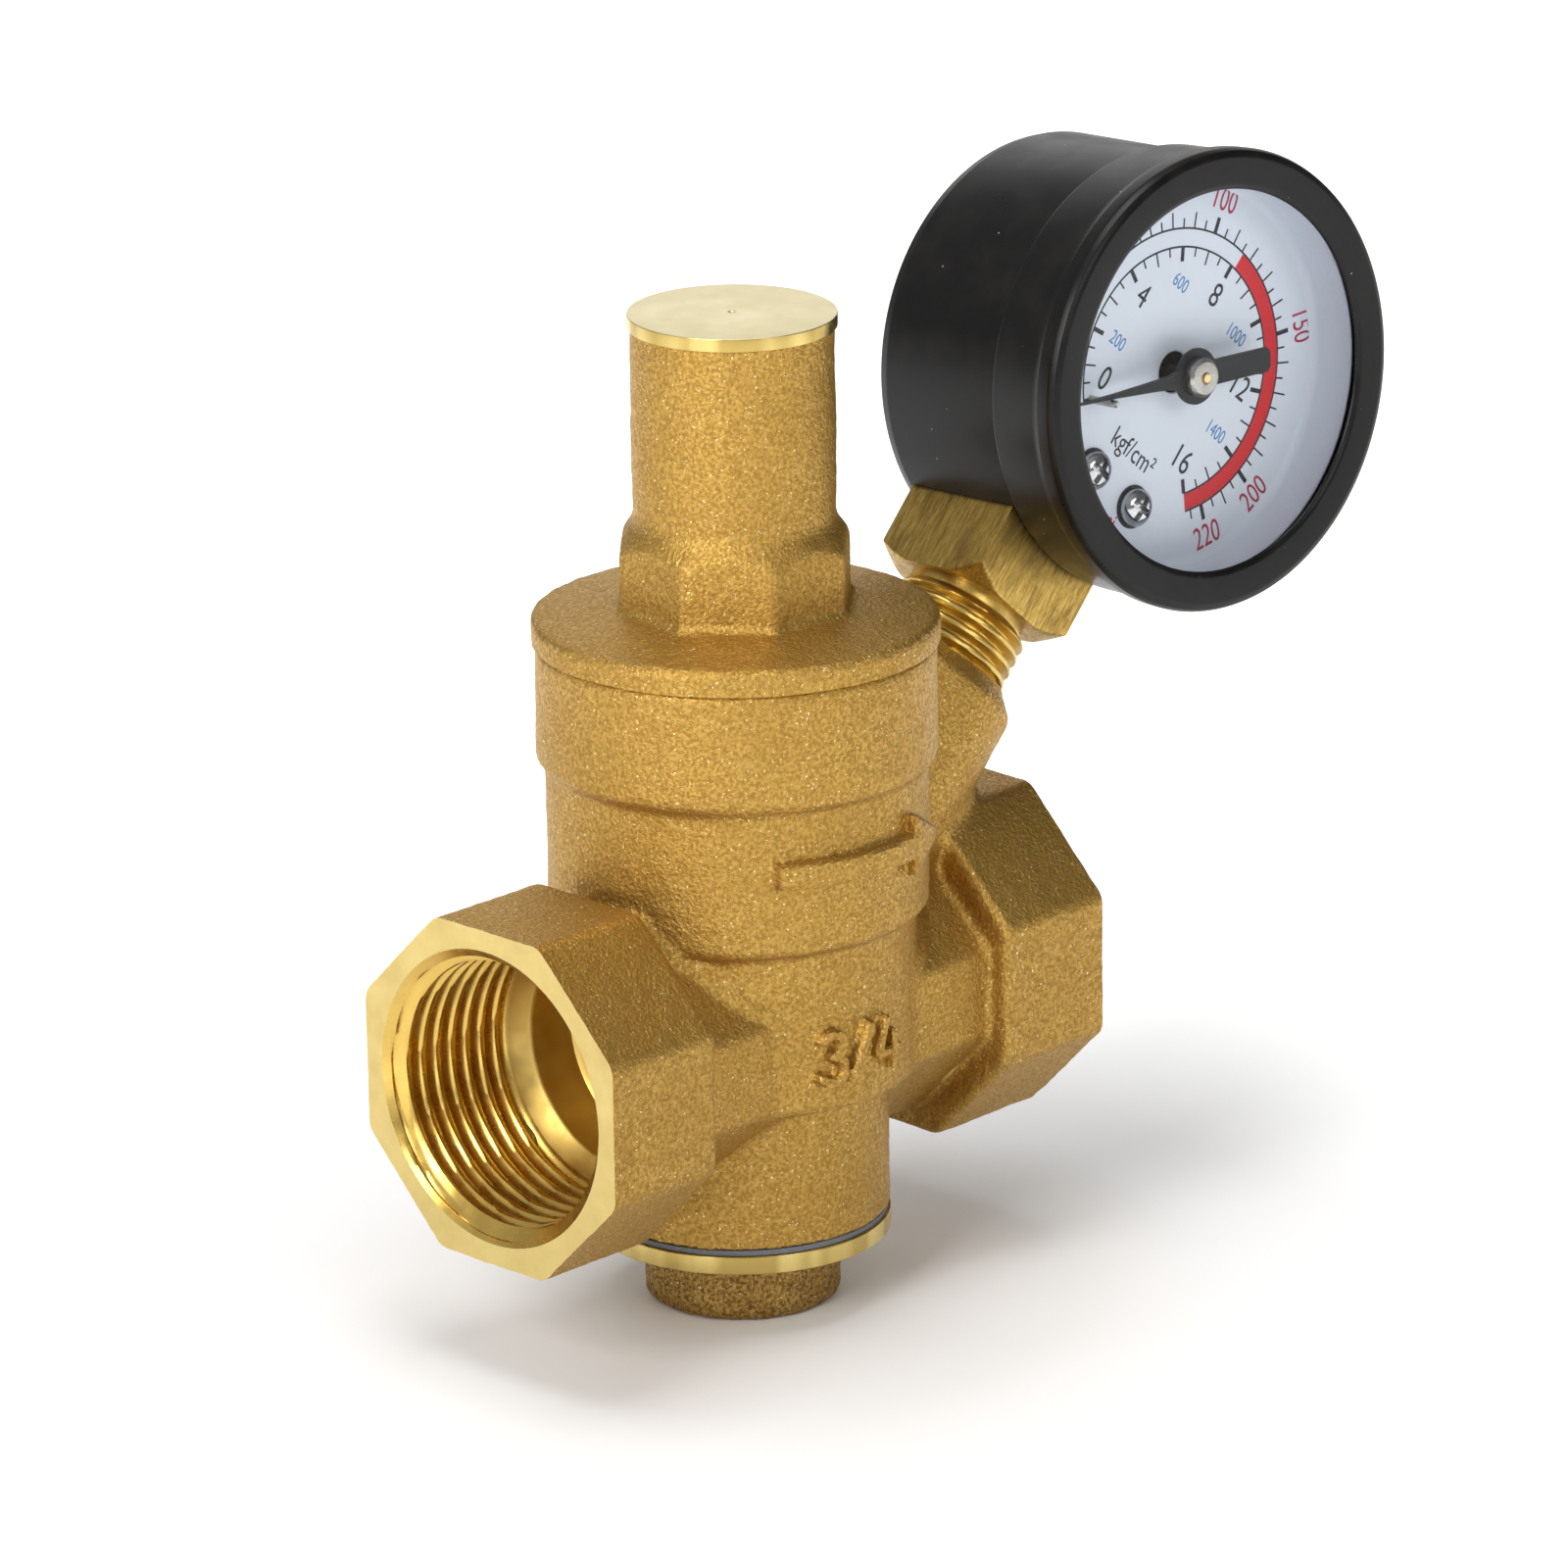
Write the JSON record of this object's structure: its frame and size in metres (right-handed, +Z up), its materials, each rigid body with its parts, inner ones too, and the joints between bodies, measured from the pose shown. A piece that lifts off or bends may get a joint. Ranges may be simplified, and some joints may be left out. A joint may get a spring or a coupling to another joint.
{
  "type": "pressure reducing valve",
  "caption": "Direct-acting brass pressure reducing valve with internally threaded pipe ends, a capped spring bonnet, a bottom plug and a tilted dial gauge.",
  "frame": {"origin": "centre of the flat underside of the bottom plug, on the stem axis", "axes": "+Z up the stem, +X from the inlet to the outlet, the gauge dial faces -Y"},
  "size_m": [0.0999, 0.0364, 0.0999],
  "materials": {
    "cast_brass": "sand-cast and bead-blasted, fine grain",
    "turned_brass": "bright turned",
    "drawn_brass": "drawn square bar with scuffs, turned thread",
    "movement_brass": "stamped and satin",
    "stainless": "turned and satin",
    "spring_steel": "oiled wire",
    "nickel_screw": "bright nickel plate",
    "black_enamel": "satin black stoving enamel",
    "grey_fibre": "pressed fibre",
    "black_rubber": "moulded",
    "lens_clear": "clear flat window",
    "dial_white": "white enamel with printed scales",
    "pointer_black": "satin black"
  },
  "bodies": {
    "valve": {"valve_body": "cast_brass", "seat_insert": "stainless", "bonnet": "cast_brass", "bonnet_gasket": "grey_fibre", "bottom_plug": "cast_brass", "plug_gasket": "grey_fibre", "regulating_spring": "spring_steel", "gauge_socket": "drawn_brass", "gauge_case": "black_enamel", "bezel_ring": "black_enamel", "lens": "lens_clear", "lens_gasket": "black_rubber", "dial_plate": "dial_white", "dial_spacers": "movement_brass", "dial_screws": "nickel_screw", "case_screws": "nickel_screw", "stop_pin": "nickel_screw", "movement_front_plate": "movement_brass", "movement_back_plate": "movement_brass", "movement_pillars": "movement_brass", "bourdon_tube": "movement_brass", "tube_tip": "movement_brass", "link": "stainless", "hairspring": "movement_brass", "hairspring_stud": "movement_brass"},
    "piston_set": {"piston": "turned_brass", "piston_oring": "black_rubber", "valve_stem": "stainless", "disc_washer": "turned_brass", "valve_disc": "black_rubber", "disc_holder": "turned_brass", "lock_nut": "stainless"},
    "spring_seat_lift": {"spring_seat": "turned_brass"},
    "adjuster": {"adjusting_screw": "turned_brass"},
    "cap_lift": {"cap_oring": "black_rubber"},
    "cap": {"top_cap": "turned_brass"},
    "pointer_shaft": {"arbor_pinion": "movement_brass", "pointer": "pointer_black", "pointer_cap": "nickel_screw"},
    "sector": {"sector_gear": "movement_brass", "sector_arbor": "stainless"}
  },
  "joints": [
    {"name": "piston_travel", "type": "slide", "parent": "valve", "child": "piston_set", "axis": [0, 0, 1], "range_m": [0, 0.00298], "stiffness_N_per_m": 4000, "springref_m": -0.012, "deforming": ["regulating_spring"]},
    {"name": "adjuster_lift", "type": "slide", "parent": "valve", "child": "spring_seat_lift", "axis": [0, 0, 1], "range_m": [-0.003, 0.004], "deforming": ["regulating_spring"]},
    {"name": "adjuster_turn", "type": "hinge", "parent": "spring_seat_lift", "child": "adjuster", "pos_m": [0, 0, 0.077], "axis": [0, 0, 1], "range_deg": [-1081, 1441]},
    {"name": "cap_rise", "type": "slide", "parent": "valve", "child": "cap_lift", "axis": [0, 0, 1], "range_m": [0, 0.006]},
    {"name": "cap_turn", "type": "hinge", "parent": "cap_lift", "child": "cap", "pos_m": [0, 0, 0.088], "axis": [0, 0, 1], "range_deg": [-1, 2161]},
    {"name": "pointer_turn", "type": "hinge", "parent": "valve", "child": "pointer_shaft", "pos_m": [0.0479, 0, 0.07777], "axis": [0.0668, 0.9959, -0.0612], "range_deg": [0, 266.6], "stiffness_Nm_per_rad": 0.0002, "springref_deg": -28.65},
    {"name": "sector_swing", "type": "hinge", "parent": "valve", "child": "sector", "pos_m": [0.05812, -0.00082, 0.07553], "axis": [0.0668, 0.9959, -0.0612], "range_deg": [-66.65, 0]}
  ],
  "couplings": [
    {"joint": "adjuster_turn", "follows": "adjuster_lift", "rad_per_m": 6283.2},
    {"joint": "cap_turn", "follows": "cap_rise", "rad_per_m": 6283.2},
    {"joint": "sector_swing", "follows": "pointer_turn", "ratio": -0.25}
  ]
}
